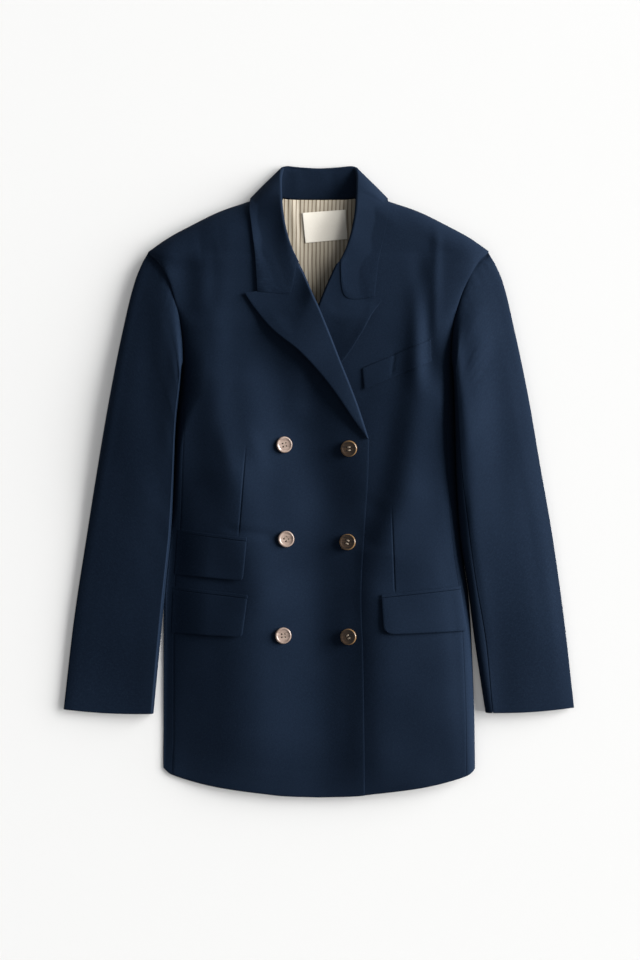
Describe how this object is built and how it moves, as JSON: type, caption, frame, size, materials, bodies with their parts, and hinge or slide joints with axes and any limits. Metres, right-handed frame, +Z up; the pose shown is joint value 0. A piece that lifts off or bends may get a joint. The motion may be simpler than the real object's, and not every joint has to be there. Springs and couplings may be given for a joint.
{
  "type": "double breasted blazer",
  "caption": "Navy wool double breasted blazer with peak lapels, flap pockets and horn buttons, buttoned and laid flat on its back with the sleeves beside the body.",
  "frame": {"origin": "on the surface that the blazer lies on, under the middle of its box", "axes": "+X to the wearer's left, +Y from the hem to the collar, +Z up off the surface through the front"},
  "size_m": [0.6656, 0.82, 0.0543],
  "materials": {
    "navy_wool": "fine weave, matte",
    "striped_lining": "smooth, with thin brown stripes",
    "label_satin": "satin, blank",
    "pale_horn": "polished",
    "dark_horn": "polished"
  },
  "bodies": {
    "root": {"back_right": "navy_wool", "back_left": "navy_wool", "side_panel_right": "navy_wool", "side_panel_left": "navy_wool", "front_right": "navy_wool", "front_left": "navy_wool", "lapel_right": "navy_wool", "lapel_left": "navy_wool", "top_sleeve_right": "navy_wool", "under_sleeve_right": "navy_wool", "top_sleeve_left": "navy_wool", "under_sleeve_left": "navy_wool", "collar": "navy_wool", "flap_left": "navy_wool", "flap_right": "navy_wool", "ticket_flap_right": "navy_wool", "jet_left": "navy_wool", "jet_right": "navy_wool", "ticket_jet_right": "navy_wool", "breast_welt": "navy_wool", "lining_back": "striped_lining", "label": "label_satin", "button_right_upper": "pale_horn", "button_right_middle": "pale_horn", "button_right_lower": "pale_horn", "button_left_upper": "dark_horn", "button_left_middle": "dark_horn", "button_left_lower": "dark_horn"}
  },
  "joints": []
}
